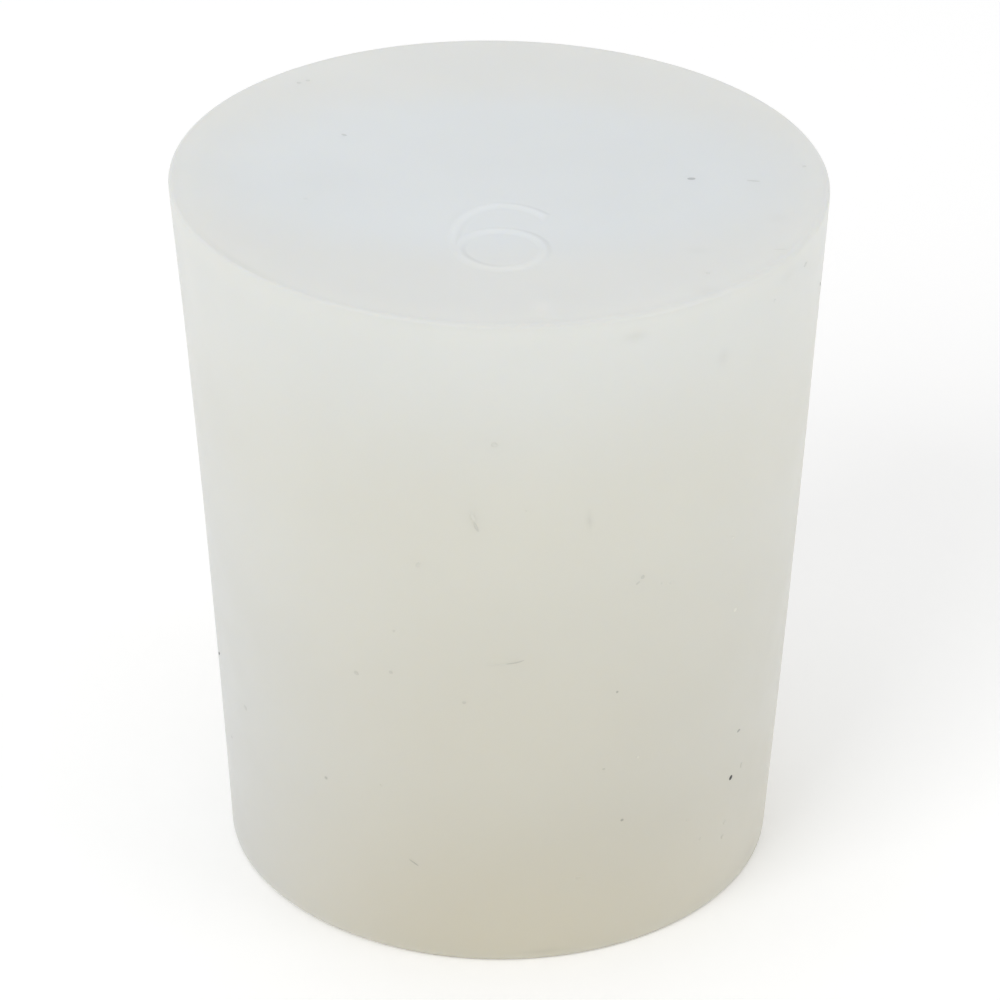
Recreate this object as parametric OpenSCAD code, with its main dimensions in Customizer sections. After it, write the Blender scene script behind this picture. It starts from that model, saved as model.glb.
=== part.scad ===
// Solid tapered stopper, moulded in one piece. It stands on its small end.

/* [Stopper] */
// Diameter across the sharp corner of the large end, before its edge is rounded
top_d = 24; // [14:0.1:60]
// Diameter across the sharp corner of the small end, before its edge is rounded
bottom_d = 20.8; // [10:0.1:56]
// Height from the small end to the large end
height = 27.5; // [12:0.5:60]

/* [Edges] */
// Radius of the moulded edge round the large end
top_edge_r = 0.35; // [0.1:0.05:2]
// Radius of the moulded edge round the small end
bottom_edge_r = 0.25; // [0.1:0.05:2]

/* [Hidden] */
$fn = 180;
top_r = top_d / 2;
bottom_r = bottom_d / 2;
// Lean of the side wall from the vertical
taper = atan((top_r - bottom_r) / height);
// Direction square to the side wall, pointing out of the rubber
wall_normal = [cos(taper), -sin(taper)];
// How far an edge circle passes the straight wall, so that the two always cross
crossing = 0.0002;

// Radius of the side wall at a height z
function wall_r(z) = bottom_r + z * tan(taper);

// Centre, at a height z, of an edge circle of radius r that touches the side wall
function edge_centre(r, z) = [wall_r(z) - r / cos(taper), z];

// Point of an edge circle where the straight wall takes over from it
function wall_end(centre, r) = centre + (r - crossing) * wall_normal;

// Edge circle, turned so that its first point lies inside the rubber
module edge(centre, r) {
    translate(centre)
        rotate(180)
            circle(r = r);
}

// Half section of the stopper: the straight taper with its two corners cut off,
// and the edge circles that round them
module half_section() {
    low = edge_centre(bottom_edge_r, bottom_edge_r);
    high = edge_centre(top_edge_r, height - top_edge_r);
    polygon([
        [0, 0],
        [low.x, 0],
        wall_end(low, bottom_edge_r),
        wall_end(high, top_edge_r),
        [high.x, height],
        [0, height],
    ]);
    edge(low, bottom_edge_r);
    edge(high, top_edge_r);
}

// The whole stopper: one solid of revolution, its axis on Z and its small end on z = 0
module stopper() {
    color("gainsboro")
        rotate_extrude()
            half_section();
}

stopper();
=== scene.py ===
"""Solid tapered silicone stopper with a raised size number, dressed for a studio picture.

Everything is in metres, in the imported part's own frame: +Z runs from the small end, which stands on
the floor, up to the large end, and the number on the large end reads upright from the -Y side.
Angles round the axis are counted from the front, -Y, and grow towards +X.
"""

import logging
import math
from dataclasses import dataclass, field
from enum import Enum

import bpy
import numpy as np
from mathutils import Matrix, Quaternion, Vector


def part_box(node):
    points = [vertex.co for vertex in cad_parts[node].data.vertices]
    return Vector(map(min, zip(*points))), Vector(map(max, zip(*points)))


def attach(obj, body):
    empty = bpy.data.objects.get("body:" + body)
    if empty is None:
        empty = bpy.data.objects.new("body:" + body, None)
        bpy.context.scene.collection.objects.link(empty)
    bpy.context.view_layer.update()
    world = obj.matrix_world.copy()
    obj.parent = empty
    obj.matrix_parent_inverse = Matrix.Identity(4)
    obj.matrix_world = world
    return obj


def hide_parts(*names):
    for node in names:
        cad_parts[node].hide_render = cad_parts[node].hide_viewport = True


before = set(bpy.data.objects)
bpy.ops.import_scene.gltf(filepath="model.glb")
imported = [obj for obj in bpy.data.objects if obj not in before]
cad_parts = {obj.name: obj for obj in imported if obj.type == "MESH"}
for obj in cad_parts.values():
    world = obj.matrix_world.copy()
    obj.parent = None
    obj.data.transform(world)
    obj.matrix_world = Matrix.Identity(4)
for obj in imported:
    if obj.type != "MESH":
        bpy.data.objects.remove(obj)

MM = 0.001

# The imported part's own names.
BODY = "root"
NODE = "stopper"

# Attribute of a mesh: share of its own colour that the skin keeps at each point, with its stains
# and marks and with painted shade and light.
SHADE = "shade"
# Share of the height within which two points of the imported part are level.
LEVEL = 1e-4
# Keeps a length that is divided by away from nothing.
TINY = 1e-9

Colour = tuple[float, float, float]
WHITE: Colour = (1.0, 1.0, 1.0)

log = logging.getLogger("stopper")


def smooth_step(value: np.ndarray) -> np.ndarray:
    """Rises from 0 to 1 as 3v^2 - 2v^3 while v goes from 0 to 1, and is flat outside.

    Args:
        value: Values of v.

    Returns:
        The step at each value.
    """
    v = np.clip(value, 0.0, 1.0)
    return v * v * (3.0 - 2.0 * v)


def bell(distance: np.ndarray) -> np.ndarray:
    """Bell curve exp(-d^2), which is 1 at no distance and fades out past 2."""
    return np.exp(-distance * distance)


def turn_between(angle: np.ndarray, other: float) -> np.ndarray:
    """Signed turn from the other angle to each angle, the short way round, in radians."""
    return (angle - other + math.pi) % (2.0 * math.pi) - math.pi


def crowded(steps: int, strength: float) -> np.ndarray:
    """Shares from 0 to 1 that lie closer together near both ends.

    The share of step s is s - k sin(2 pi s) / (2 pi), so the spacing at the ends is 1 - k of the mean.

    Args:
        steps: Number of steps from 0 to 1.
        strength: The k above, from 0 for even steps to almost 1.

    Returns:
        The shares, without the first, which is 0.
    """
    s = np.linspace(0.0, 1.0, steps + 1)[1:]
    return s - strength * np.sin(2.0 * math.pi * s) / (2.0 * math.pi)


class Face(Enum):
    """The two faces of the stopper that a mark can lie on."""

    TOP = "top"
    SIDE = "side"


@dataclass
class SizeNumber:
    """Raised size number, a 6 whose oval spine runs round into a round bowl.

    Attributes:
        bowl_centre: Centre of the bowl on the large end, x and y.
        bowl_radius: Radius of the bowl at the middle of the bead.
        spine_centre: Centre of the spine's oval.
        spine_left: Radius of the oval towards -X.
        spine_right: Radius of the oval towards +X.
        spine_up: Radius of the oval towards +Y.
        end_reach: How far from the oval's centre the spine is cut off.
        end_turn: How far the cut's outward direction is turned down from +X, in degrees.
        bead_width: Width of the bead at its foot.
        slope_width: How much of the width each sloping side of the bead takes.
        bead_height: How far the bead stands out of the face.
        painted_slope_shade: Share of its colour that the steepest slope loses as painted shade.
        painted_shade_side: Which way that slope faces, turned from the light, from +X, in degrees.
        painted_shade_power: How closely the painted shade keeps to that side.
        fall_reach: How far to either side of a point the fall of the bead is taken.
        painted_crest_highlight: Share of its colour that the crest gains as painted highlight where
        the bead runs sideways.
    """

    bowl_centre: tuple[float, float] = (0.09 * MM, -6.23 * MM)
    bowl_radius: float = 1.51 * MM
    spine_centre: tuple[float, float] = (0.12 * MM, -5.52 * MM)
    spine_left: float = 1.735 * MM
    spine_right: float = 2.12 * MM
    spine_up: float = 2.825 * MM
    end_reach: float = 0.67 * MM
    end_turn: float = 20.0
    bead_width: float = 0.57 * MM
    slope_width: float = 0.24 * MM
    bead_height: float = 0.025 * MM
    painted_slope_shade: float = 0.102
    painted_shade_side: float = 38.0
    painted_shade_power: int = 3
    fall_reach: float = 0.024 * MM
    painted_crest_highlight: float = 0.048

    def distance(self, x: np.ndarray, y: np.ndarray) -> np.ndarray:
        """Distance from each point to the middle line of the bead.

        The middle line is the bowl's circle and the spine, part of an oval that reaches down as far
        as the bowl does. With u and v counted from the oval's centre, a and b its radii in that
        quarter and s the hypotenuse of u/a and v/b, the distance to the oval is about s |s - 1| over
        the hypotenuse of u/a^2 and v/b^2. Where u cos t - v sin t passes the end's reach, t being the
        end's turn, the distance is at least half the bead's level crest plus the way past the end,
        so the bead ends square there.

        Args:
            x: Points' x on the large end.
            y: Points' y on the large end.

        Returns:
            The lesser of the two distances at each point.
        """
        from_bowl = np.hypot(x - self.bowl_centre[0], y - self.bowl_centre[1])
        bowl = np.abs(from_bowl - self.bowl_radius)

        u, v = x - self.spine_centre[0], y - self.spine_centre[1]
        down = self.spine_centre[1] - self.bowl_centre[1] + self.bowl_radius
        a = np.where(u > 0.0, self.spine_right, self.spine_left)
        b = np.where(v > 0.0, self.spine_up, down)
        s = np.maximum(np.hypot(u / a, v / b), TINY)
        spine = s * np.abs(s - 1.0) / (np.hypot(u / a**2, v / b**2) + TINY)
        turn = math.radians(self.end_turn)
        past_end = u * math.cos(turn) - v * math.sin(turn) - self.end_reach
        crest = self.bead_width / 2 - self.slope_width
        spine = np.where(past_end > 0.0, np.maximum(spine, crest + past_end), spine)
        return np.minimum(bowl, spine)

    def relief(self, x: np.ndarray, y: np.ndarray) -> np.ndarray:
        """Height of the bead over the face.

        The bead is level along its crest and falls to the face in a smooth step over the width of
        its slope.

        Args:
            x: Points' x on the large end.
            y: Points' y on the large end.

        Returns:
            Height at each point.
        """
        inside = self.bead_width / 2 - self.distance(x, y)
        return self.bead_height * smooth_step(inside / self.slope_width)

    def painted_shade_and_highlight(self, x: np.ndarray, y: np.ndarray) -> np.ndarray:
        """Share of its colour that the face loses on the bead, as painted shade and highlight.

        The painted shade grows with the fall of the bead as a share of the steepest, 1.5 heights per
        width of its slope, and with a power of the cosine between the way it falls and the side turned
        from the light. The painted highlight is taken off the shade. It grows with the height and with
        the sine between the way to the bowl's centre and X, so it shows where the bead runs sideways.

        Args:
            x: Points' x on the large end.
            y: Points' y on the large end.

        Returns:
            The loss at each point.
        """
        step = self.fall_reach
        side = math.radians(self.painted_shade_side)
        east = self.relief(x - step, y) - self.relief(x + step, y)
        north = self.relief(x, y - step) - self.relief(x, y + step)
        fall = np.hypot(east, north)
        facing = (east * math.cos(side) + north * math.sin(side)) / (fall + TINY)
        steepest = 1.5 * self.bead_height / self.slope_width * 2 * step
        u, v = x - self.bowl_centre[0], y - self.bowl_centre[1]
        sideways = np.abs(v) / (np.hypot(u, v) + TINY)
        crest_highlight = self.painted_crest_highlight * sideways * self.relief(x, y) / self.bead_height
        return self.painted_slope_shade * fall / steepest * np.clip(facing, 0.0, 1.0) ** self.painted_shade_power - crest_highlight

    def window(self, margin: float) -> tuple[float, float, float, float]:
        """Rectangle that holds the whole number.

        Args:
            margin: Room to leave round the number.

        Returns:
            Low x, high x, low y and high y.
        """
        out = self.bead_width / 2 + margin
        low_x = self.spine_centre[0] - self.spine_left - out
        high_x = self.bowl_centre[0] + self.bowl_radius + out
        low_y = self.bowl_centre[1] - self.bowl_radius - out
        return low_x, high_x, low_y, self.spine_centre[1] + self.spine_up + out


@dataclass
class EdgeRound:
    """Rounding of one rim, crisper or softer towards one side.

    Attributes:
        radius: Radius of the rounding on most of the rim.
        change: How much the radius differs where it differs most.
        side: Angle round the axis of that place, in degrees.
        reach: How far round the rim the change spreads, in degrees.
    """

    radius: float
    change: float
    side: float
    reach: float

    def at(self, angle: np.ndarray) -> np.ndarray:
        """Radius at each angle: the usual one plus the change times a bell curve of the turn."""
        turn = turn_between(angle, math.radians(self.side))
        return self.radius + self.change * bell(turn / math.radians(self.reach))


@dataclass
class RimLine:
    """Thin darker line just inside part of the rim of the large end.

    Attributes:
        inset: Distance of the line from the outside of the rim.
        width: Half width of the line.
        depth: Share of its colour that the skin loses in the line.
        side: Angle round the axis of its middle, in degrees.
        reach: How far round the rim it fades out to either side, in degrees.
    """

    inset: float = 0.20 * MM
    width: float = 0.12 * MM
    depth: float = 0.036
    side: float = -50.5
    reach: float = 10.0

    def loss(self, radius: np.ndarray, angle: np.ndarray, rim: float) -> np.ndarray:
        """Share of its colour that the skin loses: a bell curve across and along the line.

        Args:
            radius: Distance of each point from the axis.
            angle: Angle of each point round the axis, in radians.
            rim: Radius of the outside of the rim.

        Returns:
            The loss at each point.
        """
        across = bell((radius - (rim - self.inset)) / self.width)
        along = bell(turn_between(angle, math.radians(self.side)) / math.radians(self.reach))
        return self.depth * across * along


@dataclass(frozen=True)
class Patch:
    """Soft oval patch of stain, painted shade or light, swelling or sink, fading out as a bell curve.

    Attributes:
        face: Which face it lies on.
        place: x and y on the large end, or degrees round the axis and height on the wall; lengths
            in millimetres.
        reach: How far it reaches across and along, in millimetres.
        loss: Share of its colour that the skin loses in the middle; below nothing it gains.
        push: How far the skin stands out there, in millimetres; below nothing it is sunk.
    """

    face: Face
    place: tuple[float, float]
    reach: tuple[float, float]
    loss: float = 0.0
    push: float = 0.0

    def cover(self, points: np.ndarray, body: "StopperBody") -> np.ndarray:
        """How much of the patch each point gets, from 1 in its middle to nothing far off.

        It is the bell curve of the distance in reaches, where the depth under the face counts by the
        second reach, so that a patch near the rim flows over it.

        Args:
            points: Points of the true form.
            body: The stopper.

        Returns:
            The cover at each point.
        """
        x, y, z = points[..., 0], points[..., 1], points[..., 2]
        if self.face is Face.TOP:
            across, along, under = x - self.place[0] * MM, y - self.place[1] * MM, body.height - z
        else:
            radius = np.hypot(x, y)
            across = turn_between(np.arctan2(x, -y), math.radians(self.place[0])) * radius
            along, under = z - self.place[1] * MM, body.wall_radius(z) - radius
        wide, tall = self.reach[0] * MM, self.reach[1] * MM
        return bell(np.sqrt((across / wide) ** 2 + (along / tall) ** 2 + (under / tall) ** 2))


@dataclass
class StopperBody:
    """The whole stopper, one closed surface from the number on its large end to its small end.

    Attributes:
        height: Height from the small end to the large end.
        rim: Radius at which the wall would meet the large end in a sharp corner.
        foot: Radius at which the wall would meet the small end in a sharp corner.
        top_edge: Rounding round the large end.
        bottom_edge: Rounding round the small end.
        number: The raised size number.
        rim_line: Thin darker line just inside the rim.
        patches: Stains, painted shade and light, bumps and dents in the skin.
        rim_shade: Share of its colour that the skin loses as painted shade at the large end's rim.
        rim_shade_reach: How far from the rim the loss spreads.
        edge_shade: Share that the rounding itself loses besides as painted shade, where it loses most.
        edge_shade_side: Angle round the axis of that place, in degrees.
        edge_shade_reach: How far round the rim the loss spreads, in degrees.
        edge_shade_middle: Where it is strongest across the rounding, from -1 at the upper end of the
            rounding to 1 at its lower end.
        edge_shade_width: How far across the rounding it spreads, on the same count.
        foot_glow: Share that the skin gains at the foot as painted light, for the floor's light
        that comes through it.
        foot_glow_reach: How far up the wall the gain spreads.
        contact_glow: Share that the foot's rounding gains besides as painted light, right over the
        floor, where it lies in the floor's shade.
        contact_glow_reach: How far up that gain spreads, as a share of the rounding's radius.
        face_skin: How far under the large end a point still counts as part of its face.
        lean: How much the large end rises per unit of x.
        bow: How far the middle of the axis stands off sideways.
        bow_swing: How many bows the axis swings over from its middle to either end.
        shrink: How much thinner the wall is than a straight cone below the rim.
        shrink_fade: Share of the height, under the rim, over which the shrinkage fades in.
        cell: Side of the fine square cells under the number.
        face_rings: Rings from the number's cells to the rounding of the rim.
        edge_rings: Rings round each rounding.
        wall_rings: Rings down the wall.
        base_rings: Rings of the small end's flat.
        face_crowding: How much the face's rings crowd towards the number and the rim.
        wall_crowding: How much the wall's rings crowd towards both edges.
        front_crowding: How much closer the points of a ring lie at the front.
    """

    height: float
    rim: float
    foot: float
    top_edge: EdgeRound
    bottom_edge: EdgeRound
    number: SizeNumber = field(default_factory=SizeNumber)
    rim_line: RimLine = field(default_factory=RimLine)
    patches: tuple[Patch, ...] = ()
    rim_shade: float = 0.045
    rim_shade_reach: float = 0.36 * MM
    edge_shade: float = 0.059
    edge_shade_side: float = -12.0
    edge_shade_reach: float = 75.0
    edge_shade_middle: float = -0.28
    edge_shade_width: float = 0.92
    foot_glow: float = 0.045
    foot_glow_reach: float = 0.40 * MM
    contact_glow: float = 0.13
    contact_glow_reach: float = 0.6
    face_skin: float = 0.01 * MM
    lean: float = -0.015
    bow: float = 0.04 * MM
    bow_swing: float = 2.2
    shrink: float = 0.04 * MM
    shrink_fade: float = 0.25
    cell: float = 0.05 * MM
    face_rings: int = 52
    edge_rings: int = 10
    wall_rings: int = 112
    base_rings: int = 12
    face_crowding: float = 0.8
    wall_crowding: float = 0.6
    front_crowding: float = 0.4

    @classmethod
    def from_frame(
        cls,
        node: str,
        cad_edges: tuple[float, float],
        top_edge: EdgeRound,
        bottom_edge: EdgeRound,
        patches: tuple[Patch, ...],
    ) -> "StopperBody":
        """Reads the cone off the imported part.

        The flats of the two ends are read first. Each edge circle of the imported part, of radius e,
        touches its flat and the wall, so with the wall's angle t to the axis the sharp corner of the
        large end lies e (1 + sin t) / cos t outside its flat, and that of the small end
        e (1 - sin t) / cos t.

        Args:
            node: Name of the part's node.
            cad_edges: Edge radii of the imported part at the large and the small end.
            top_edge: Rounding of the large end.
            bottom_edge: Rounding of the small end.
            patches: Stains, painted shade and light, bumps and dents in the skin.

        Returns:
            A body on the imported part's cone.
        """
        low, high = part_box(node)
        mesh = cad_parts[node].data
        flat = np.empty(len(mesh.vertices) * 3)
        mesh.vertices.foreach_get("co", flat)
        points = flat.reshape(-1, 3)
        radius = np.hypot(points[:, 0], points[:, 1])
        height = high.z - low.z
        level = LEVEL * height
        top_flat = float(radius[points[:, 2] > high.z - level].max())
        bottom_flat = float(radius[points[:, 2] < low.z + level].max())
        top_radius, bottom_radius = cad_edges
        run = top_flat - bottom_flat
        rise = height - top_radius - bottom_radius
        narrowing = (bottom_radius - top_radius) / math.hypot(run, rise)
        taper = math.atan2(run, rise) - math.asin(narrowing)
        return cls(
            height=height,
            rim=top_flat + top_radius * (1.0 + math.sin(taper)) / math.cos(taper),
            foot=bottom_flat + bottom_radius * (1.0 - math.sin(taper)) / math.cos(taper),
            top_edge=top_edge,
            bottom_edge=bottom_edge,
            patches=patches,
        )

    def taper(self) -> float:
        """Angle between the wall and the axis, in radians."""
        return math.atan2(self.rim - self.foot, self.height)

    def wall_radius(self, height: np.ndarray) -> np.ndarray:
        """Radius of the true wall at each height."""
        return self.foot + (self.rim - self.foot) * height / self.height

    def top_flat(self, angle: np.ndarray) -> np.ndarray:
        """Radius at which the flat of the large end turns into its rounding, at each angle."""
        taper = self.taper()
        return self.rim - self.top_edge.at(angle) * (1.0 + math.sin(taper)) / math.cos(taper)

    def side_rings(self, angle: np.ndarray) -> np.ndarray:
        """Rings of the rounded rim, the wall, the rounded foot and the small end's flat.

        At each angle they follow the half section: an arc of the rim's radius from straight up to
        the wall's own direction, a straight wall whose rings crowd towards both ends, an arc of the
        foot's radius on to straight down, and a straight run in along the floor.

        Args:
            angle: Angles of the ring's points round the axis.

        Returns:
            Radius and height, with the rings along the first axis and the angles along the second.
        """
        taper = self.taper()
        edge = self.top_edge.at(angle)
        turn = np.linspace(math.pi / 2, -taper, self.edge_rings + 1)[1:, None]
        top_r = self.top_flat(angle) + edge * np.cos(turn)
        top_z = self.height - edge + edge * np.sin(turn)

        edge = self.bottom_edge.at(angle)
        base_flat = self.foot - edge * (1.0 - math.sin(taper)) / math.cos(taper)
        turn = np.linspace(-taper, -math.pi / 2, self.edge_rings + 1)[:, None]
        bottom_r = base_flat + edge * np.cos(turn)
        bottom_z = edge + edge * np.sin(turn)

        share = crowded(self.wall_rings, self.wall_crowding)[:-1, None]
        wall_r = top_r[-1] + share * (bottom_r[0] - top_r[-1])
        wall_z = top_z[-1] + share * (bottom_z[0] - top_z[-1])

        inward = np.linspace(1.0, 0.0, self.base_rings + 1)[1:-1, None]
        base_r = base_flat * inward
        radius = np.concatenate([top_r, wall_r, bottom_r, base_r])
        height = np.concatenate([top_z, wall_z, bottom_z, np.zeros_like(base_r)])
        return np.stack([radius, height], axis=-1)

    def build(self) -> bpy.types.Object:
        """Makes the closed surface.

        The large end is a fine grid of squares under the number, then rings that pass from the
        grid's rectangle to the rim's circle, each ring a straight blend of the two. Below it each
        ring is a circle: x is r sin(a) and y is -r cos(a), where the angle a starts at the front
        and its steps are shorter there. A fan closes the middle of the small end.

        Returns:
            The new object, its place in its mesh.
        """
        x0, x1, y0, y1 = self.number.window(2 * self.cell)
        across = int(round((x1 - x0) / self.cell))
        along = int(round((y1 - y0) / self.cell))
        grid_x, grid_y = np.meshgrid(np.linspace(x0, x1, across + 1), np.linspace(y0, y1, along + 1))
        grid = np.stack([grid_x.ravel(), grid_y.ravel()], axis=1)
        index = np.arange(grid.shape[0]).reshape(along + 1, across + 1)
        loop = np.concatenate([index[0, :-1], index[:-1, -1], index[-1, :0:-1], index[:0:-1, 0]])
        count = loop.size

        turn = 2 * math.pi * (np.arange(count) - across / 2) / count
        angle = turn - self.front_crowding * np.sin(turn)
        circle = np.stack([np.sin(angle), -np.cos(angle)], axis=1)
        rim = circle * self.top_flat(angle)[:, None]
        grow = crowded(self.face_rings, self.face_crowding)[:, None, None]
        rings = grid[loop] + grow * (rim - grid[loop])
        face = np.concatenate([grid, rings.reshape(-1, 2)])
        top = np.column_stack([face, np.full(len(face), self.height)])
        top[:, 2] += self.number.relief(top[:, 0], top[:, 1])

        profile = self.side_rings(angle)
        side = np.concatenate([profile[..., :1] * circle, profile[..., 1:]], axis=-1)
        points = np.concatenate([top, side.reshape(-1, 3), [[0.0, 0.0, 0.0]]])

        squares = np.stack(
            [index[:-1, :-1], index[:-1, 1:], index[1:, 1:], index[1:, :-1]], axis=-1
        ).reshape(-1, 4)
        start = grid.shape[0] + count * np.arange(self.face_rings + len(profile))
        ring = np.concatenate([loop[None], start[:, None] + np.arange(count)])
        upper, lower = ring[:-1], ring[1:]
        bands = np.stack(
            [upper, lower, np.roll(lower, -1, axis=1), np.roll(upper, -1, axis=1)], axis=-1
        ).reshape(-1, 4)
        last = ring[-1]
        fan = np.stack([last, np.full(count, len(points) - 1), np.roll(last, -1)], axis=-1)
        faces = squares.tolist() + bands.tolist() + fan.tolist()
        return new_piece("stopper_body", self.as_moulded(points), faces, self.kept_colour(points))

    def kept_colour(self, points: np.ndarray) -> np.ndarray:
        """Share of its own colour that the skin keeps.

        The rim loses the rim shade, painted shade that is a bell curve of the distance from its sharp
        corner. How far a point lies outwards and down from the middle of the rounding, in radii of it,
        runs from -1 at its upper end to 1 at its lower end, and the edge shade, painted shade too, is a
        bell curve of it. The foot gains painted light, a wide and a narrow bell curve of the height.
        The darker line inside the rim, the painted shade and highlight on the number and each patch,
        which holds a stain or painted shade or light, take their own parts.

        Args:
            points: Points of the true form.

        Returns:
            The share at each point.
        """
        x, y, z = points.T
        radius = np.hypot(x, y)
        angle = np.arctan2(x, -y)
        inset, depth = self.rim - radius, self.height - z
        # Painted shade at the rim and across its rounding, which dims the light that the rounding
        # catches.
        kept = 1.0 - self.rim_shade * bell(np.hypot(inset, depth) / self.rim_shade_reach)
        turn = turn_between(angle, math.radians(self.edge_shade_side))
        along = bell(turn / math.radians(self.edge_shade_reach))
        below = (depth - inset) / self.top_edge.at(angle) - self.edge_shade_middle
        kept *= 1.0 - self.edge_shade * along * bell(below / self.edge_shade_width)
        # Painted light at the foot, against the shade where it meets the floor.
        kept *= 1.0 + self.foot_glow * bell(z / self.foot_glow_reach)
        reach = self.contact_glow_reach * self.bottom_edge.at(angle)
        kept *= 1.0 + self.contact_glow * bell(z / reach)
        on_top = z > self.height - self.face_skin
        kept *= 1.0 - on_top * self.rim_line.loss(radius, angle, self.rim)
        # Painted shade on the number's slopes turned from the light, less a painted highlight on its
        # crest.
        kept *= 1.0 - on_top * self.number.painted_shade_and_highlight(x, y)
        for patch in self.patches:
            kept *= 1.0 - patch.loss * patch.cover(points, self)
        return kept

    def as_moulded(self, points: np.ndarray) -> np.ndarray:
        """Gives the true form the small faults that rubber leaves the mould with.

        With u the height as a share of the whole: the wall is drawn in by the shrinkage, which fades
        to nothing in a smooth step up to the rim. The large end leans by the lean times x, fading
        downwards with the fourth power of u. The axis bows sideways as the bow times
        1 - s (2u - 1)^2, where s is the swing. Each patch pushes the large end up or the wall
        outwards.

        Args:
            points: Points of the true form.

        Returns:
            The points in their moulded places.
        """
        up = points[..., 2] / self.height
        moved = points.copy()
        thinner = 1.0 - self.shrink / self.rim * smooth_step((1.0 - up) / self.shrink_fade)
        moved[..., :2] *= thinner[..., None]
        moved[..., 2] += self.lean * points[..., 0] * np.abs(up) ** 4
        moved[..., 0] += self.bow * (1.0 - self.bow_swing * (2.0 * up - 1.0) ** 2)
        radial = points[..., :2] / np.maximum(np.hypot(points[..., 0], points[..., 1]), MM)[..., None]
        for patch in self.patches:
            push = patch.push * MM * patch.cover(points, self)
            if patch.face is Face.TOP:
                moved[..., 2] += push
            else:
                moved[..., :2] += push[..., None] * radial
        return moved

    def surface(self, face: Face, place: np.ndarray) -> np.ndarray:
        """Places on the moulded surface.

        Args:
            face: Which face they lie on.
            place: Rows of x and y on the large end, or of angle in radians and height on the wall.

        Returns:
            Rows of x, y and z.
        """
        if face is Face.TOP:
            lift = self.number.relief(place[..., 0], place[..., 1])
            flat = np.concatenate([place, (self.height + lift)[..., None]], axis=-1)
            return self.as_moulded(flat)
        radius = self.wall_radius(place[..., 1])
        x = radius * np.sin(place[..., 0])
        y = -radius * np.cos(place[..., 0])
        return self.as_moulded(np.stack([x, y, place[..., 1]], axis=-1))

    def outward(self, face: Face, place: np.ndarray) -> np.ndarray:
        """Directions straight out of the true form, for the same places.

        Args:
            face: Which face they lie on.
            place: Rows as for the surface.

        Returns:
            Rows of unit vectors.
        """
        if face is Face.TOP:
            return np.broadcast_to([0.0, 0.0, 1.0], (len(place), 3))
        taper = self.taper()
        angle = place[..., 0]
        down = np.full_like(angle, -math.sin(taper))
        level = math.cos(taper)
        return np.stack([level * np.sin(angle), -level * np.cos(angle), down], axis=-1)


@dataclass(frozen=True)
class Mark:
    """One small mark in the skin, a pressed-flat grain or a thin fibre.

    Attributes:
        kept: Share of the skin's own colour that it keeps; above 1 it is paler than the skin.
        face: Which face it lies on.
        place: x and y on the large end, or degrees round the axis and height on the wall; lengths
            in millimetres.
        size: Length and width, in millimetres.
        turn: Turn of its length from level, in degrees.
        bend: How far its middle bows out sideways, in millimetres.
    """

    kept: float
    face: Face
    place: tuple[float, float]
    size: tuple[float, float]
    turn: float = 0.0
    bend: float = 0.0

    def points(self, body: StopperBody, ball: np.ndarray, thickness: float) -> np.ndarray:
        """Lays a ball's points into the skin as this mark.

        The ball's x is stretched along the mark, its y across it and its z out of the skin. The
        middle bows out by the bend times 1 - x^2.

        Args:
            body: The stopper.
            ball: Rows of a ball of radius 1.
            thickness: How thick the mark is.

        Returns:
            Rows of x, y and z.
        """
        length, width = np.array(self.size) * MM
        along = ball[:, 0] * length / 2
        across = ball[:, 1] * width / 2 + self.bend * MM * (1.0 - ball[:, 0] ** 2)
        turn = math.radians(self.turn)
        level = along * math.cos(turn) - across * math.sin(turn)
        upright = along * math.sin(turn) + across * math.cos(turn)
        second = self.place[1] * MM + upright
        if self.face is Face.TOP:
            first = self.place[0] * MM + level
        else:
            first = math.radians(self.place[0]) + level / body.wall_radius(second)
        place = np.stack([first, second], axis=-1)
        out = body.outward(self.face, place) * ball[:, 2:] * thickness / 2
        return body.surface(self.face, place) + out


@dataclass
class SkinMarks:
    """All the small marks, in one piece.

    Attributes:
        marks: The marks.
        thickness: How thick each mark is.
        rings: Rings along a mark.
        sides: Points round each ring.
    """

    marks: tuple[Mark, ...]
    thickness: float = 0.02 * MM
    rings: int = 7
    sides: int = 12

    def ball(self) -> tuple[np.ndarray, list]:
        """Ball of radius 1 whose poles lie along x.

        Ring i of n lies at x = cos(pi i / (n + 1)), and goes round x from y to z.

        Returns:
            Its points and its faces.
        """
        lat = math.pi * np.arange(1, self.rings + 1) / (self.rings + 1)
        lon = 2 * math.pi * np.arange(self.sides) / self.sides
        x = np.broadcast_to(np.cos(lat)[:, None], (self.rings, self.sides))
        y = np.sin(lat)[:, None] * np.cos(lon)
        z = np.sin(lat)[:, None] * np.sin(lon)
        rings = np.stack([x, y, z], axis=-1).reshape(-1, 3)
        points = np.concatenate([rings, [[1.0, 0.0, 0.0], [-1.0, 0.0, 0.0]]])
        index = np.arange(len(rings)).reshape(self.rings, self.sides)
        following = np.roll(index, -1, axis=1)
        quads = np.stack([index[:-1], index[1:], following[1:], following[:-1]], axis=-1)
        pole = np.full(self.sides, len(rings))
        first = np.stack([pole, index[0], following[0]], axis=-1)
        last = np.stack([pole + 1, following[-1], index[-1]], axis=-1)
        return points, quads.reshape(-1, 4).tolist() + first.tolist() + last.tolist()

    def build(self, body: StopperBody) -> bpy.types.Object:
        """Makes the piece, with the share of the skin's colour that each mark keeps.

        Args:
            body: The stopper that the marks lie in.

        Returns:
            The new object.
        """
        ball, ball_faces = self.ball()
        points = [mark.points(body, ball, self.thickness) for mark in self.marks]
        starts = range(0, len(ball) * len(self.marks), len(ball))
        faces = [[corner + start for corner in face] for start in starts for face in ball_faces]
        kept = np.repeat([mark.kept for mark in self.marks], len(ball))
        return new_piece("skin_marks", np.concatenate(points), faces, kept)


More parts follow.
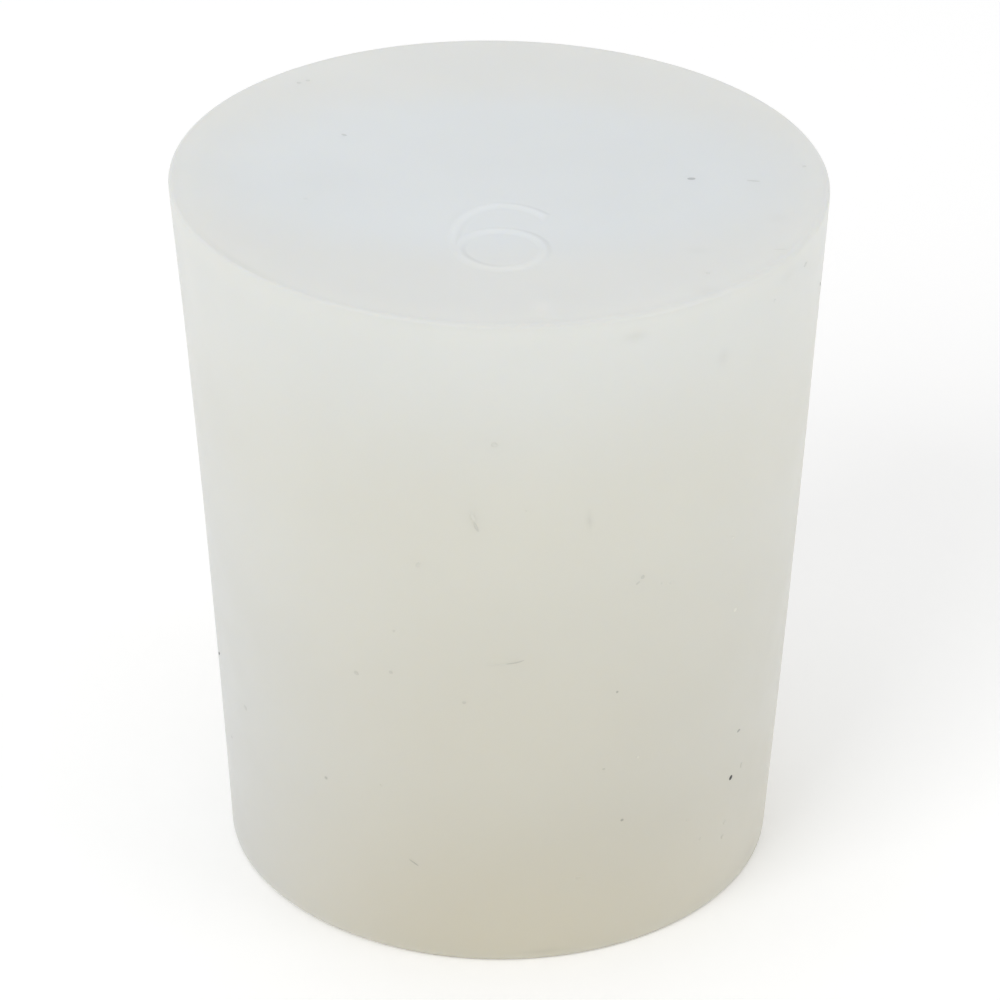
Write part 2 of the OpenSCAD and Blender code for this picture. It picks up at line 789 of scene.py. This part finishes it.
def new_piece(
    name: str, points: np.ndarray, faces: list, kept: np.ndarray | None = None
) -> bpy.types.Object:
    """Makes a smooth mesh object with its place in its mesh.

    Args:
        name: Name of the piece.
        points: Rows of x, y and z.
        faces: Point numbers of each face.
        kept: Share of its own colour that the skin keeps at each point.

    Returns:
        The new object, linked into the scene.
    """
    mesh = bpy.data.meshes.new(name)
    mesh.from_pydata(points.tolist(), [], faces)
    mesh.shade_smooth()
    mesh.update()
    mesh.validate()
    if kept is not None:
        mesh.attributes.new(SHADE, "FLOAT", "POINT").data.foreach_set("value", kept)
    piece = bpy.data.objects.new(name, mesh)
    bpy.context.scene.collection.objects.link(piece)
    return piece


class NodeBench:
    """Adds nodes to one tree and wires them, a line for each step of a finish."""

    def __init__(self, tree: bpy.types.NodeTree) -> None:
        """Takes the tree that the nodes go into.

        Args:
            tree: Node tree of a material or a world.
        """
        self.tree = tree

    def add(self, kind: str, **settings: object) -> bpy.types.Node:
        """Adds a node and sets its properties.

        Args:
            kind: The node's type.
            settings: Properties by name.

        Returns:
            The node.
        """
        node = self.tree.nodes.new(kind)
        for name, value in settings.items():
            setattr(node, name, value)
        return node

    def feed(self, socket: bpy.types.NodeSocket, value: object) -> None:
        """Links a socket to another node's output, or sets it to a number or colour.

        Args:
            socket: Input to feed.
            value: The output, number or colour.
        """
        if isinstance(value, bpy.types.NodeSocket):
            self.tree.links.new(value, socket)
        else:
            socket.default_value = value

    def split(self, vector: bpy.types.NodeSocket) -> list[bpy.types.NodeSocket]:
        """Takes a vector apart.

        Args:
            vector: Output to take apart.

        Returns:
            The outputs of its x, y and z.
        """
        node = self.add("ShaderNodeSeparateXYZ")
        self.feed(node.inputs[0], vector)
        return list(node.outputs)

    def math(self, operation: str, a: object, b: object) -> bpy.types.NodeSocket:
        """One arithmetic step on two values.

        Args:
            operation: What the step does.
            a: First value or output.
            b: Second value or output.

        Returns:
            The result's output.
        """
        node = self.add("ShaderNodeMath", operation=operation)
        self.feed(node.inputs[0], a)
        self.feed(node.inputs[1], b)
        return node.outputs[0]

    def remap(
        self, value: bpy.types.NodeSocket, low: float, high: float, start: float, end: float
    ) -> bpy.types.NodeSocket:
        """Carries a range of a value smoothly over to another range.

        Args:
            value: Output to carry over.
            low: Value that gives the start.
            high: Value that gives the end.
            start: Result at the low value and below.
            end: Result at the high value and above.

        Returns:
            The result's output.
        """
        node = self.add("ShaderNodeMapRange", interpolation_type="SMOOTHSTEP")
        self.feed(node.inputs["Value"], value)
        for name, number in zip(("From Min", "From Max", "To Min", "To Max"), (low, high, start, end)):
            node.inputs[name].default_value = number
        return node.outputs["Result"]

    def noise(self, place: bpy.types.NodeSocket, size: float, detail: float) -> bpy.types.NodeSocket:
        """Soft random pattern.

        Args:
            place: Coordinates to read it at.
            size: Size of its patches.
            detail: How many finer patterns lie over it.

        Returns:
            Its value, about 0.5 on average.
        """
        node = self.add("ShaderNodeTexNoise")
        self.feed(node.inputs["Vector"], place)
        node.inputs["Scale"].default_value = 1.0 / size
        node.inputs["Detail"].default_value = detail
        return node.outputs[0]

    def mix(self, factor: object, a: object, b: object, blend: str = "MIX") -> bpy.types.NodeSocket:
        """Mixes two colours.

        Args:
            factor: Share of the second colour.
            a: First colour.
            b: Second colour.
            blend: How the second meets the first.

        Returns:
            The mixed colour's output.
        """
        node = self.add("ShaderNodeMix", data_type="RGBA", blend_type=blend)
        colours = [socket for socket in node.inputs if socket.type == "RGBA"]
        self.feed(node.inputs["Factor"], factor)
        self.feed(colours[0], a)
        self.feed(colours[1], b)
        return [socket for socket in node.outputs if socket.type == "RGBA"][0]

    def seen(self) -> bpy.types.NodeSocket:
        """Tells what is looked at from the light that bounces about.

        Returns:
            Output that is 1 for rays from the camera, mirrored ones and ones seen through a surface,
            and 0 for all others.
        """
        path = self.add("ShaderNodeLightPath").outputs
        mirrored = self.math("MAXIMUM", path["Is Camera Ray"], path["Is Glossy Ray"])
        return self.math("MAXIMUM", mirrored, path["Is Transmission Ray"])


def solid(colour: Colour) -> tuple[float, float, float, float]:
    """The colour with full cover, as a colour socket takes it."""
    return (*colour, 1.0)


@dataclass(frozen=True)
class SiliconeFinish:
    """Milky translucent silicone, cool and pale at the large end and warm deep down the body.

    Its colours hold painted light and shade: the large end's cool heart is painted light that the
    milk scatters back, the wall grows darker and warmer downwards as painted shade, and the cool
    limbs low down are painted light.

    Attributes:
        name: Name of the material.
        bands: Colours up the wall at even steps, from the small end to the large end, growing darker
        and warmer downwards as painted shade.
        turn_over: Upward parts of the normal at which the wall's colour starts to turn and has
            turned into the large end's.
        end: Colour of the large end.
        heart: Cool colour in its middle, painted light that the milk scatters back.
        heart_reach: Where the heart starts and ends to fade along Y, as shares of the rim.
        heart_width: How much wider than that the heart is along X.
        limb: Cool colour that the wall turns to low down on its two limbs, painted light.
        limb_shares: How far it turns at the -X and at the +X limb.
        noise_span: Values of a random pattern that count as its lowest and highest.
        cloud: Strength of the slow drift in the milkiness.
        cloud_size: Size of its clouds.
        cloud_detail: How many finer patterns lie over it.
        depth: How far light wanders inside, in metres.
        spread: Share of that depth that red, green and blue reach.
        milk: Share of the light that wanders inside before it leaves.
        roughness: Lowest and highest roughness of the skin.
        gloss_size: Size of its duller and glossier patches.
        gloss_detail: How many finer patterns lie over them.
        bumps: Depth and size of each layer of the skin's relief, the soft orange peel first and the
            fine grain after it.
        bump_detail: How many finer patterns lie over each layer.
        ior: Refractive index of silicone.
        sheen: Dusty shine of the skin at a flat angle.
    """

    name: str = "milky_silicone"
    bands: tuple[Colour, ...] = (
        (0.607, 0.573, 0.464),
        (0.630, 0.614, 0.530),
        (0.681, 0.674, 0.599),
        (0.725, 0.739, 0.711),
    )
    turn_over: tuple[float, float] = (0.3, 0.9)
    end: Colour = (0.719, 0.732, 0.716)
    heart: Colour = (0.710, 0.742, 0.755)
    heart_reach: tuple[float, float] = (0.40, 0.70)
    heart_width: float = 1.6
    limb: Colour = (0.660, 0.693, 0.728)
    limb_shares: tuple[float, float] = (0.72, 0.29)
    noise_span: tuple[float, float] = (0.3, 0.7)
    cloud: float = 0.006
    cloud_size: float = 6.0 * MM
    cloud_detail: float = 2.0
    depth: float = 1.6 * MM
    spread: tuple[float, float, float] = (1.0, 0.85, 0.6)
    milk: float = 0.35
    roughness: tuple[float, float] = (0.38, 0.50)
    gloss_size: float = 2.5 * MM
    gloss_detail: float = 3.0
    bumps: tuple[tuple[float, float], ...] = ((0.006 * MM, 1.6 * MM), (0.0012 * MM, 0.16 * MM))
    bump_detail: float = 1.0
    ior: float = 1.41
    sheen: float = 0.10

    def material(self, body: StopperBody) -> bpy.types.Material:
        """Builds the material.

        Args:
            body: The stopper, for its height and rim.

        Returns:
            The finished material.
        """
        material = bpy.data.materials.new(self.name)
        material.use_nodes = True
        bench = NodeBench(material.node_tree)
        shader = material.node_tree.nodes["Principled BSDF"]
        place = bench.add("ShaderNodeTexCoord")
        normal, place = place.outputs["Normal"], place.outputs["Object"]
        x, y, z = bench.split(place)
        upward = bench.remap(bench.split(normal)[2], *self.turn_over, 0.0, 1.0)
        colour = bench.mix(upward, self.wall(bench, body, x, z), self.large_end(bench, body, x, y))
        base = self.cloudy(bench, place, colour)
        bench.feed(shader.inputs["Base Color"], base)
        gloss = bench.noise(place, self.gloss_size, self.gloss_detail)
        roughness = bench.remap(gloss, *self.noise_span, *self.roughness)
        bench.feed(shader.inputs["Roughness"], roughness)
        bench.feed(shader.inputs["Normal"], self.skin(bench, place))
        shader.inputs["IOR"].default_value = self.ior
        shader.inputs["Subsurface Weight"].default_value = self.milk
        shader.inputs["Subsurface Radius"].default_value = self.spread
        shader.inputs["Subsurface Scale"].default_value = self.depth
        shader.inputs["Sheen Weight"].default_value = self.sheen
        return material

    def wall(
        self, bench: NodeBench, body: StopperBody, x: bpy.types.NodeSocket, z: bpy.types.NodeSocket
    ) -> bpy.types.NodeSocket:
        """Colour up the wall, with painted shade and light.

        The share of the height reads the bands, which are darker and warmer low down as painted shade.
        The limb's colour, painted light, is mixed in by the limb's share times the square of x over the
        rim and 1 less the square of the height's share.

        Args:
            bench: Where the nodes go.
            body: The stopper, for its height and rim.
            x: Object X.
            z: Object Z.

        Returns:
            The colour's output.
        """
        up = bench.math("DIVIDE", z, body.height)
        ramp = bench.add("ShaderNodeValToRGB")
        ramp.color_ramp.interpolation = "EASE"
        stops = ramp.color_ramp.elements
        for number in range(1, len(self.bands) - 1):
            stops.new(number / (len(self.bands) - 1))
        for stop, colour in zip(stops, self.bands):
            stop.color = solid(colour)
        bench.feed(ramp.inputs[0], up)

        left, right = self.limb_shares
        low = bench.math("SUBTRACT", 1.0, bench.math("MULTIPLY", up, up))
        out = bench.math("DIVIDE", bench.math("MULTIPLY", x, x), body.rim**2)
        on_right = bench.math("GREATER_THAN", x, 0.0)
        share = bench.math("ADD", bench.math("MULTIPLY", on_right, right - left), left)
        factor = bench.math("MULTIPLY", bench.math("MULTIPLY", out, low), share)
        return bench.mix(factor, ramp.outputs[0], solid(self.limb))

    def large_end(
        self, bench: NodeBench, body: StopperBody, x: bpy.types.NodeSocket, y: bpy.types.NodeSocket
    ) -> bpy.types.NodeSocket:
        """Colour of the large end, with the cool heart, painted light, as an oval fading out at its
        edge.

        Args:
            bench: Where the nodes go.
            body: The stopper, for its rim.
            x: Object X.
            y: Object Y.

        Returns:
            The colour's output.
        """
        narrowed = bench.math("DIVIDE", x, self.heart_width)
        squares = (bench.math("MULTIPLY", narrowed, narrowed), bench.math("MULTIPLY", y, y))
        radius = bench.math("SQRT", bench.math("ADD", *squares), 0.0)
        start, end = (share * body.rim for share in self.heart_reach)
        inner = bench.remap(radius, start, end, 1.0, 0.0)
        return bench.mix(inner, solid(self.end), solid(self.heart))

    def cloudy(
        self, bench: NodeBench, place: bpy.types.NodeSocket, colour: bpy.types.NodeSocket
    ) -> bpy.types.NodeSocket:
        """Lets the milkiness drift a little over the body, and lays over it the skin's stains and marks
        and its painted shade and light.

        Args:
            bench: Where the nodes go.
            place: Object coordinates.
            colour: Colour to vary.

        Returns:
            The varied colour's output.
        """
        drift = bench.noise(place, self.cloud_size, self.cloud_detail)
        change = bench.remap(drift, *self.noise_span, 1.0 - self.cloud, 1.0 + self.cloud)
        kept = bench.add("ShaderNodeAttribute", attribute_name=SHADE).outputs["Fac"]
        shade = bench.math("MULTIPLY", change, kept)
        tone = bench.add("ShaderNodeCombineColor")
        for socket in tone.inputs:
            bench.feed(socket, shade)
        return bench.mix(1.0, colour, tone.outputs[0], "MULTIPLY")

    def skin(self, bench: NodeBench, place: bpy.types.NodeSocket) -> bpy.types.NodeSocket:
        """Relief of the moulded skin, one layer of bumps over the other.

        Args:
            bench: Where the nodes go.
            place: Object coordinates.

        Returns:
            The bumped normal's output.
        """
        normal = None
        for depth, size in self.bumps:
            bump = bench.add("ShaderNodeBump")
            bump.inputs["Distance"].default_value = depth
            bench.feed(bump.inputs["Height"], bench.noise(place, size, self.bump_detail))
            if normal is not None:
                bench.feed(bump.inputs["Normal"], normal)
            normal = bump.outputs["Normal"]
        return normal


@dataclass
class Lamp:
    """Square soft lamp that faces the stopper.

    Attributes:
        name: Name of the lamp.
        side: Angle round the axis that it stands at, in degrees.
        rise: Height over the horizon, in degrees.
        away: Distance from the stopper.
        size: Side of the square.
        level: Light on a surface that faces it, as a share of plain white light.
    """

    name: str
    side: float
    rise: float
    away: float
    size: float
    level: float

    def hang(self, target: Vector) -> bpy.types.Object:
        """Makes the lamp.

        Its power spreads over pi times the square of the distance, and a white surface returns
        1 / pi of what it gets, so the level is multiplied by pi twice.

        Args:
            target: Point that it faces.

        Returns:
            The lamp.
        """
        data = bpy.data.lights.new(self.name, "AREA")
        data.shape = "SQUARE"
        data.size = self.size
        data.energy = self.level * (math.pi * self.away) ** 2
        lamp = bpy.data.objects.new(self.name, data)
        side, rise = math.radians(self.side), math.radians(self.rise)
        out = Vector((math.sin(side) * math.cos(rise), -math.cos(side) * math.cos(rise), math.sin(rise)))
        lamp.location = target + out * self.away
        lamp.rotation_mode = "QUATERNION"
        lamp.rotation_quaternion = (-out).to_track_quat("-Z", "Y")
        bpy.context.scene.collection.objects.link(lamp)
        return lamp


@dataclass
class Studio:
    """Pale floor, soft lamps and the camera.

    Attributes:
        target: Middle of the stopper.
        aim_lift: How far over the middle the camera aims.
        distance: Distance from the camera to the middle.
        elevation: Height of the camera over the horizon, in degrees.
        roll: Turn of the camera about its own line of sight, in degrees.
        lens: Focal length, in millimetres.
        sensor: Width of the picture behind that lens, in millimetres.
        clip: Nearest and farthest thing that the camera shows, in camera distances.
        sky: Level of the plain light from all round.
        floor_bounce: Share of its light that the floor returns.
        floor_glow: What the floor adds of its own where it is seen, up to a plain white.
        floor_reach: Radius of the floor.
        floor_sides: Number of its sides.
        floor_fade: Distances from the middle at which the floor starts and ends to turn plain white.
        lamps: The soft lamps.
    """

    target: Vector
    aim_lift: float = 0.11 * MM
    distance: float = 171.2 * MM
    elevation: float = 29.64
    roll: float = 0.124
    lens: float = 163.2
    sensor: float = 36.0
    clip: tuple[float, float] = (0.1, 100.0)
    sky: float = 0.6
    floor_bounce: float = 0.95
    floor_glow: float = 0.10
    floor_reach: float = 2.0
    floor_sides: int = 96
    floor_fade: tuple[float, float] = (0.14, 0.32)
    lamps: tuple[Lamp, ...] = (
        Lamp("key", -38.0, 37.0, 0.45, 0.25, 0.30),
        Lamp("right_fill", 68.0, 4.0, 0.45, 0.25, 0.32),
        Lamp("left_fill", -80.0, 4.0, 0.45, 0.25, 0.07),
        Lamp("overhead", 180.0, 80.0, 0.45, 0.35, 0.18),
    )

    def build(self) -> None:
        """Sets up the sky, the floor, the lamps and the camera."""
        self.light_sky()
        self.lay_floor()
        for lamp in self.lamps:
            lamp.hang(self.target)
        self.place_camera()

    def place_camera(self) -> None:
        """Puts the camera on the -Y side at its elevation and aims it just over the middle."""
        data = bpy.data.cameras.new("camera")
        data.sensor_width = self.sensor
        data.lens = self.lens
        data.clip_start, data.clip_end = (share * self.distance for share in self.clip)
        camera = bpy.data.objects.new("camera", data)
        tilt = math.radians(self.elevation)
        camera.location = self.target + Vector((0.0, -math.cos(tilt), math.sin(tilt))) * self.distance
        sight = self.target + Vector((0.0, 0.0, self.aim_lift)) - camera.location
        camera.rotation_mode = "QUATERNION"
        roll = Quaternion((0.0, 0.0, 1.0), math.radians(self.roll))
        camera.rotation_quaternion = sight.to_track_quat("-Z", "Y") @ roll
        bpy.context.scene.collection.objects.link(camera)
        bpy.context.scene.camera = camera

    def light_sky(self) -> None:
        """Gives the sky a plain light, and shows it white where it is seen."""
        world = bpy.data.worlds.new("sky")
        world.use_nodes = True
        bench = NodeBench(world.node_tree)
        background = world.node_tree.nodes["Background"]
        background.inputs["Color"].default_value = solid(WHITE)
        level = bench.math("MAXIMUM", bench.seen(), self.sky)
        bench.feed(background.inputs["Strength"], level)
        bpy.context.scene.world = world

    def lay_floor(self) -> bpy.types.Object:
        """Makes the round floor, white where it is seen and duller for the light that it returns.

        Where it is seen, it fades over to a plain white of its own with the distance from its
        middle, past the shadow and before the lamps, so that it has no edge against the sky.

        Returns:
            The floor.
        """
        turn = np.linspace(0.0, 2.0 * math.pi, self.floor_sides + 1)[:-1]
        rim = self.floor_reach * np.column_stack([np.cos(turn), np.sin(turn), np.zeros_like(turn)])
        floor = new_piece("floor", rim, [list(range(len(rim)))])
        material = bpy.data.materials.new("floor")
        material.use_nodes = True
        bench = NodeBench(material.node_tree)
        shader = material.node_tree.nodes["Principled BSDF"]
        shader.inputs["Roughness"].default_value = 1.0
        shader.inputs["Specular IOR Level"].default_value = 0.0
        shader.inputs["Emission Color"].default_value = solid(WHITE)
        seen = bench.seen()
        grey = solid((self.floor_bounce,) * 3)
        bench.feed(shader.inputs["Base Color"], bench.mix(seen, grey, solid(WHITE)))
        bench.feed(shader.inputs["Emission Strength"], bench.math("MULTIPLY", seen, self.floor_glow))

        place = bench.add("ShaderNodeTexCoord").outputs["Object"]
        distance = bench.add("ShaderNodeVectorMath", operation="LENGTH")
        bench.feed(distance.inputs[0], place)
        far = bench.remap(distance.outputs["Value"], *self.floor_fade, 0.0, 1.0)
        plain = bench.add("ShaderNodeEmission")
        blend = bench.add("ShaderNodeMixShader")
        bench.feed(blend.inputs[0], bench.math("MULTIPLY", seen, far))
        bench.feed(blend.inputs[1], shader.outputs[0])
        bench.feed(blend.inputs[2], plain.outputs[0])
        bench.feed(material.node_tree.nodes["Material Output"].inputs["Surface"], blend.outputs[0])
        floor.data.materials.append(material)
        return floor


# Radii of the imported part's roundings, at the large and at the small end.
CAD_EDGES = (0.35 * MM, 0.25 * MM)
# The rim is crispest and the foot softest towards the left of the front.
RIM_EDGE = EdgeRound(radius=0.20 * MM, change=-0.09 * MM, side=-50.0, reach=40.0)
FOOT_EDGE = EdgeRound(radius=0.18 * MM, change=0.12 * MM, side=-45.0, reach=35.0)

PATCHES = (
    # A small lump behind the front of the rim, with a sunk, darker line before it.
    Patch(Face.TOP, (1.50, -10.62), (0.40, 0.50), loss=-0.03, push=0.05),
    Patch(Face.TOP, (1.60, -11.40), (0.80, 0.22), push=-0.022),
    Patch(Face.TOP, (1.50, -11.42), (0.60, 0.09), loss=0.010),
    # Stains on the large end, painted shade on the lit left slope of the number's spine, and a lighter
    # stretch of the number.
    Patch(Face.TOP, (6.97, -6.04), (0.35, 0.25), loss=0.03),
    Patch(Face.TOP, (7.16, -9.13), (0.40, 0.35), loss=0.03),
    Patch(Face.TOP, (9.92, -3.36), (0.35, 0.30), loss=0.03),
    Patch(Face.TOP, (-6.20, -0.60), (1.60, 1.60), loss=0.015),
    Patch(Face.TOP, (-2.60, -8.20), (1.20, 1.00), loss=0.012),
    Patch(Face.TOP, (-1.48, -4.05), (0.28, 0.60), loss=0.017),
    Patch(Face.TOP, (-1.07, -6.92), (0.45, 0.45), loss=-0.009),
    # A shallow pit under the rim, stains down the wall, and a darker streak just over its foot.
    Patch(Face.SIDE, (23.1, 26.60), (0.40, 0.20), loss=0.05, push=-0.05),
    Patch(Face.SIDE, (58.0, 26.70), (0.45, 0.25), loss=0.03),
    Patch(Face.SIDE, (41.2, 24.72), (0.24, 0.32), loss=0.05),
    Patch(Face.SIDE, (-4.6, 19.60), (0.14, 0.34), loss=0.04),
    Patch(Face.SIDE, (15.7, 19.33), (0.11, 0.30), loss=0.09),
    Patch(Face.SIDE, (9.0, 0.38), (0.80, 0.10), loss=0.07),
    # Slow unevenness of the milk in the large end.
    Patch(Face.TOP, (-7.00, 6.00), (5.00, 6.00), loss=-0.022),
    Patch(Face.TOP, (7.80, 3.20), (3.00, 3.20), loss=0.006),
    Patch(Face.TOP, (-1.50, -4.50), (4.00, 3.00), loss=-0.015),
    Patch(Face.TOP, (-1.50, -8.30), (4.50, 1.10), loss=-0.008),
    # Slow unevenness of the milk in the wall, from under the rim to the foot. Among it, the patches
    # at -62 and 62 degrees under the rim are painted shade that dims the light caught in the band
    # under the rim, the one at 40 degrees is painted light in that band, and the one at 28 degrees
    # low on the front is painted shade.
    Patch(Face.SIDE, (-62.0, 26.60), (3.00, 1.20), loss=0.015),
    Patch(Face.SIDE, (62.0, 26.40), (3.00, 1.20), loss=0.018),
    Patch(Face.SIDE, (84.0, 25.6), (1.60, 2.40), loss=0.014),
    Patch(Face.SIDE, (40.0, 25.60), (6.00, 1.60), loss=-0.009),
    Patch(Face.SIDE, (-86.0, 24.6), (2.00, 3.20), loss=0.022),
    Patch(Face.SIDE, (58.0, 22.50), (4.50, 4.50), loss=-0.020),
    Patch(Face.SIDE, (-64.0, 21.50), (4.50, 5.00), loss=-0.008),
    Patch(Face.SIDE, (-35.0, 19.8), (3.20, 2.00), loss=-0.007),
    Patch(Face.SIDE, (15.0, 15.4), (5.00, 2.30), loss=0.019),
    Patch(Face.SIDE, (-23.0, 11.50), (3.00, 4.00), loss=-0.015),
    Patch(Face.SIDE, (67.0, 9.0), (2.20, 5.00), loss=0.014),
    Patch(Face.SIDE, (16.0, 8.8), (2.50, 1.30), loss=0.006),
    Patch(Face.SIDE, (-38.0, 6.0), (2.00, 1.50), loss=0.006),
    Patch(Face.SIDE, (28.0, 5.30), (4.80, 3.00), loss=0.045),
    Patch(Face.SIDE, (-60.0, 5.00), (4.50, 3.00), loss=0.024),
    Patch(Face.SIDE, (2.0, 4.50), (3.50, 3.50), loss=0.010),
    Patch(Face.SIDE, (66.0, 4.3), (2.00, 1.80), loss=0.021),
    Patch(Face.SIDE, (-70.0, 1.6), (2.20, 1.80), loss=0.026),
)

MARKS = (
    # Specks, a thread and spots of dirt on the large end.
    Mark(0.65, Face.TOP, (6.96, -0.22), (0.30, 0.18), 5.0),
    Mark(0.82, Face.TOP, (-5.72, 3.05), (0.25, 0.13), -40.0),
    Mark(0.87, Face.TOP, (9.20, -0.32), (0.50, 0.10), -9.0),
    Mark(0.90, Face.TOP, (11.12, 0.98), (0.16, 0.15)),
    Mark(0.89, Face.TOP, (-7.57, 7.64), (0.17, 0.16)),
    Mark(0.90, Face.TOP, (-7.24, 7.84), (0.17, 0.16)),
    Mark(0.95, Face.TOP, (-6.94, -2.36), (0.16, 0.11), 40.0),
    Mark(0.97, Face.TOP, (9.91, -5.84), (0.50, 0.06), 8.0),
    Mark(0.94, Face.TOP, (7.27, -7.79), (0.16, 0.15)),
    # Dark specks, scuffs and pale spots down the wall.
    Mark(0.60, Face.SIDE, (79.5, 24.22), (0.40, 0.155), -29.0),
    Mark(0.92, Face.SIDE, (65.4, 26.45), (0.31, 0.17)),
    Mark(0.975, Face.SIDE, (54.2, 26.00), (0.14, 0.13)),
    Mark(0.93, Face.SIDE, (-1.0, 22.68), (0.22, 0.18)),
    Mark(0.95, Face.SIDE, (4.5, 19.97), (0.08, 0.08)),
    Mark(0.86, Face.SIDE, (-4.3, 19.28), (0.44, 0.10), -68.0),
    Mark(0.97, Face.SIDE, (-4.9, 19.68), (0.34, 0.16), -75.0),
    Mark(0.945, Face.SIDE, (-14.9, 17.47), (0.26, 0.12), 60.0),
    Mark(1.07, Face.SIDE, (47.3, 16.72), (0.13, 0.12)),
    Mark(0.84, Face.SIDE, (26.4, 16.50), (0.165, 0.155)),
    Mark(0.88, Face.SIDE, (25.5, 16.30), (0.18, 0.09), 30.0),
    Mark(0.965, Face.SIDE, (30.6, 16.01), (0.10, 0.10)),
    Mark(0.97, Face.SIDE, (32.5, 15.90), (0.12, 0.11)),
    Mark(0.80, Face.SIDE, (2.6, 13.55), (0.70, 0.06), 13.0, -0.03),
    Mark(0.95, Face.SIDE, (-0.8, 13.44), (0.80, 0.04), 2.0),
    Mark(1.14, Face.SIDE, (49.9, 13.37), (0.18, 0.17)),
    Mark(0.94, Face.SIDE, (-19.9, 14.47), (0.11, 0.11)),
    Mark(0.89, Face.SIDE, (-20.8, 12.64), (0.145, 0.145)),
    Mark(0.89, Face.SIDE, (-28.0, 12.23), (0.21, 0.16), -20.0),
    Mark(0.88, Face.SIDE, (-6.8, 11.74), (0.15, 0.14)),
    Mark(0.70, Face.SIDE, (22.3, 11.74), (0.10, 0.10)),
    Mark(0.63, Face.SIDE, (55.2, 7.51), (0.21, 0.12)),
    Mark(0.04, Face.SIDE, (53.9, 5.51), (0.22, 0.19), 43.0),
    Mark(0.90, Face.SIDE, (57.8, 5.69), (0.16, 0.24)),
    Mark(0.88, Face.SIDE, (20.3, 8.40), (0.11, 0.10)),
    Mark(1.08, Face.SIDE, (27.4, 8.57), (0.12, 0.11)),
    Mark(0.64, Face.SIDE, (24.8, 5.88), (0.13, 0.12)),
    Mark(0.79, Face.SIDE, (-36.4, 7.01), (0.14, 0.14)),
    Mark(0.98, Face.SIDE, (-23.8, 7.47), (0.11, 0.11)),
    Mark(0.67, Face.SIDE, (-17.2, 4.26), (0.42, 0.04), -33.0),
    Mark(0.04, Face.SIDE, (-78.9, 8.33), (0.45, 0.12), 29.0),
    Mark(0.91, Face.SIDE, (-61.6, 7.83), (0.27, 0.21)),
    Mark(0.80, Face.SIDE, (-72.2, 5.32), (0.13, 0.12)),
    Mark(0.95, Face.SIDE, (40.8, 4.76), (0.11, 0.11)),
    Mark(0.965, Face.SIDE, (53.3, 3.53), (0.20, 0.17)),
    Mark(0.95, Face.SIDE, (45.3, 3.52), (0.13, 0.13)),
    Mark(0.92, Face.SIDE, (52.9, 2.90), (0.20, 0.19)),
    Mark(0.93, Face.SIDE, (15.9, 3.61), (0.16, 0.15)),
)


def main() -> None:
    """Builds the stopper, dresses it and sets the studio round it."""
    logging.basicConfig(level=logging.INFO, format="%(name)s: %(message)s")
    bpy.context.scene.view_settings.view_transform = "Standard"
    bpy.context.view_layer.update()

    body = StopperBody.from_frame(NODE, CAD_EDGES, RIM_EDGE, FOOT_EDGE, PATCHES)
    stopper = body.build()
    stopper.data.materials.append(SiliconeFinish().material(body))
    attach(stopper, BODY)
    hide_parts(NODE)
    log.info("%s: %d faces", stopper.name, len(stopper.data.polygons))

    marks = SkinMarks(MARKS).build(body)
    marks.data.materials.append(SiliconeFinish(name="marked_silicone", milk=0.0).material(body))
    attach(marks, BODY)
    log.info("%s: %d faces", marks.name, len(marks.data.polygons))

    Studio(target=Vector((0.0, 0.0, body.height / 2))).build()


if __name__ == "__main__":
    main()
